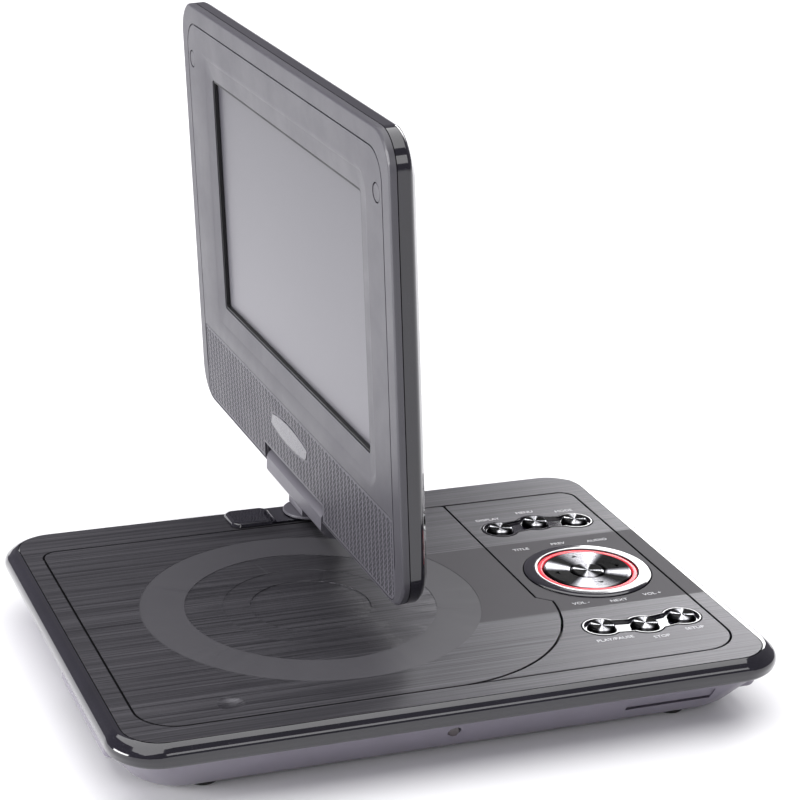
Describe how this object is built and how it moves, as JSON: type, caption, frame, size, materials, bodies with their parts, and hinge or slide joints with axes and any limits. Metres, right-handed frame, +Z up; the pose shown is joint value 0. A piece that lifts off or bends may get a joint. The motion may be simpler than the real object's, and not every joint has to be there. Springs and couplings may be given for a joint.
{
  "type": "portable dvd player",
  "caption": "Flat portable disc player: a base with a round-cornered disc lid and a dial pad, and a wide screen that swivels and tilts on a turret at the rear.",
  "frame": {"origin": "middle of the base's flat underside, above the feet", "axes": "+X to the right of the base, +Y to the rear where the screen's turret is, +Z up; at rest the screen is swivelled to face -X"},
  "size_m": [0.2364, 0.2873, 0.2036],
  "materials": {
    "case_grey": "fine satin, grey with a lilac cast",
    "gloss_black": "piano black",
    "brushed_dark": "dark, brushed along X",
    "spun_metal": "turned, with fine circular lines",
    "red_light": "clear, lit from below",
    "screen_grey": "satin",
    "grille_grey": "fine woven texture",
    "badge_grey": "smooth satin",
    "turret_grey": "satin",
    "inner_black": "matte",
    "display_glass": "matt anti-glare film",
    "lens_glass": "coated",
    "infrared_black": "dark filter",
    "rubber": "matte",
    "steel": "plain",
    "sheet_steel": "pressed sheet",
    "sled_metal": "cast, painted",
    "board_green": "solder mask",
    "battery_blue": "shrink wrap",
    "socket_black": "matte",
    "socket_yellow": "matte",
    "socket_green": "matte",
    "cone_paper": "pressed paper"
  },
  "bodies": {
    "base": {"lower_case": "case_grey", "upper_case": "gloss_black", "button_tray_rear": "gloss_black", "button_tray_front": "gloss_black", "dial_bezel": "gloss_black", "hinge_cover": "gloss_black", "deck_panel": "brushed_dark", "control_panel": "brushed_dark", "dial_light_ring": "red_light", "disc_tray": "inner_black", "infrared_window": "infrared_black", "foot_1": "rubber", "foot_2": "rubber", "foot_3": "rubber", "foot_4": "rubber", "case_screw_1": "steel", "case_screw_2": "steel", "case_screw_3": "steel", "case_screw_4": "steel", "guide_rail_1": "steel", "guide_rail_2": "steel", "feed_motor": "steel", "spindle_motor": "steel", "drive_chassis": "sheet_steel", "usb_socket": "sheet_steel", "key_board": "board_green", "main_board": "board_green", "battery_pack": "battery_blue", "dc_inlet": "socket_black", "av_socket": "socket_yellow", "headphone_socket": "socket_green"},
    "display_button": {"display_button": "spun_metal"},
    "menu_button": {"menu_button": "spun_metal"},
    "mode_button": {"mode_button": "spun_metal"},
    "play_pause_button": {"play_pause_button": "spun_metal"},
    "stop_button": {"stop_button": "spun_metal"},
    "setup_button": {"setup_button": "spun_metal"},
    "ok_button": {"ok_button": "spun_metal"},
    "navigation_pad": {"navigation_pad": "spun_metal"},
    "disc_lid": {"disc_lid": "brushed_dark", "lid_latch_hook": "inner_black"},
    "spindle_hub": {"spindle_hub": "inner_black"},
    "lead_screw": {"lead_screw": "steel"},
    "pickup_sled": {"pickup_sled": "sled_metal", "pickup_lens": "lens_glass"},
    "power_switch": {"power_switch": "inner_black"},
    "turret": {"swivel_turret": "turret_grey", "hinge_block": "turret_grey"},
    "screen": {"screen_bezel": "screen_grey", "bezel_plug_left": "screen_grey", "bezel_plug_right": "screen_grey", "chin_grille": "grille_grey", "chin_badge": "badge_grey", "screen_back_cover": "gloss_black", "hinge_shaft": "steel", "screen_mask": "inner_black", "display_panel": "display_glass", "display_board": "board_green", "speaker_left": "cone_paper", "speaker_right": "cone_paper"}
  },
  "joints": [
    {"name": "screen_swivel", "type": "hinge", "parent": "base", "child": "turret", "pos_m": [0, 0.078, 0.026], "axis": [0, 0, 1], "range_deg": [-90, 180]},
    {"name": "screen_tilt", "type": "hinge", "parent": "turret", "child": "screen", "pos_m": [0, 0.078, 0.0333], "axis": [0, 1, 0], "range_deg": [-86.4, 48.6]},
    {"name": "disc_lid_open", "type": "hinge", "parent": "base", "child": "disc_lid", "pos_m": [-0.025, 0.0664, 0.02], "axis": [1, 0, 0], "range_deg": [-4, 0]},
    {"name": "spindle_turn", "type": "hinge", "parent": "base", "child": "spindle_hub", "pos_m": [-0.0258, -0.002, 0.017], "axis": [0, 0, 1], "continuous": true},
    {"name": "lead_screw_turn", "type": "hinge", "parent": "base", "child": "lead_screw", "pos_m": [-0.0258, 0.021, 0.01], "axis": [1, 0, 0], "range_deg": [0, 3600]},
    {"name": "pickup_slide", "type": "slide", "parent": "base", "child": "pickup_sled", "axis": [1, 0, 0], "range_m": [0, 0.03]},
    {"name": "power_slide", "type": "slide", "parent": "base", "child": "power_switch", "axis": [0, 1, 0], "range_m": [0, 0.003]},
    {"name": "pad_rock", "type": "hinge", "parent": "base", "child": "navigation_pad", "pos_m": [0.0801, -0.004, 0.0225], "axis": [1, 0, 0], "range_deg": [-3, 3], "stiffness_Nm_per_rad": 0.05},
    {"name": "display_press", "type": "slide", "parent": "base", "child": "display_button", "axis": [0, 0, -1], "range_m": [0, 0.0008], "stiffness_N_per_m": 400, "springref_m": -0.0005},
    {"name": "menu_press", "type": "slide", "parent": "base", "child": "menu_button", "axis": [0, 0, -1], "range_m": [0, 0.0008], "stiffness_N_per_m": 400, "springref_m": -0.0005},
    {"name": "mode_press", "type": "slide", "parent": "base", "child": "mode_button", "axis": [0, 0, -1], "range_m": [0, 0.0008], "stiffness_N_per_m": 400, "springref_m": -0.0005},
    {"name": "play_pause_press", "type": "slide", "parent": "base", "child": "play_pause_button", "axis": [0, 0, -1], "range_m": [0, 0.0008], "stiffness_N_per_m": 400, "springref_m": -0.0005},
    {"name": "stop_press", "type": "slide", "parent": "base", "child": "stop_button", "axis": [0, 0, -1], "range_m": [0, 0.0008], "stiffness_N_per_m": 400, "springref_m": -0.0005},
    {"name": "setup_press", "type": "slide", "parent": "base", "child": "setup_button", "axis": [0, 0, -1], "range_m": [0, 0.0008], "stiffness_N_per_m": 400, "springref_m": -0.0005},
    {"name": "ok_press", "type": "slide", "parent": "base", "child": "ok_button", "axis": [0, 0, -1], "range_m": [0, 0.0008], "stiffness_N_per_m": 400, "springref_m": -0.0005}
  ],
  "couplings": [
    {"joint": "lead_screw_turn", "follows": "pickup_slide", "rad_per_m": 2094.4}
  ]
}
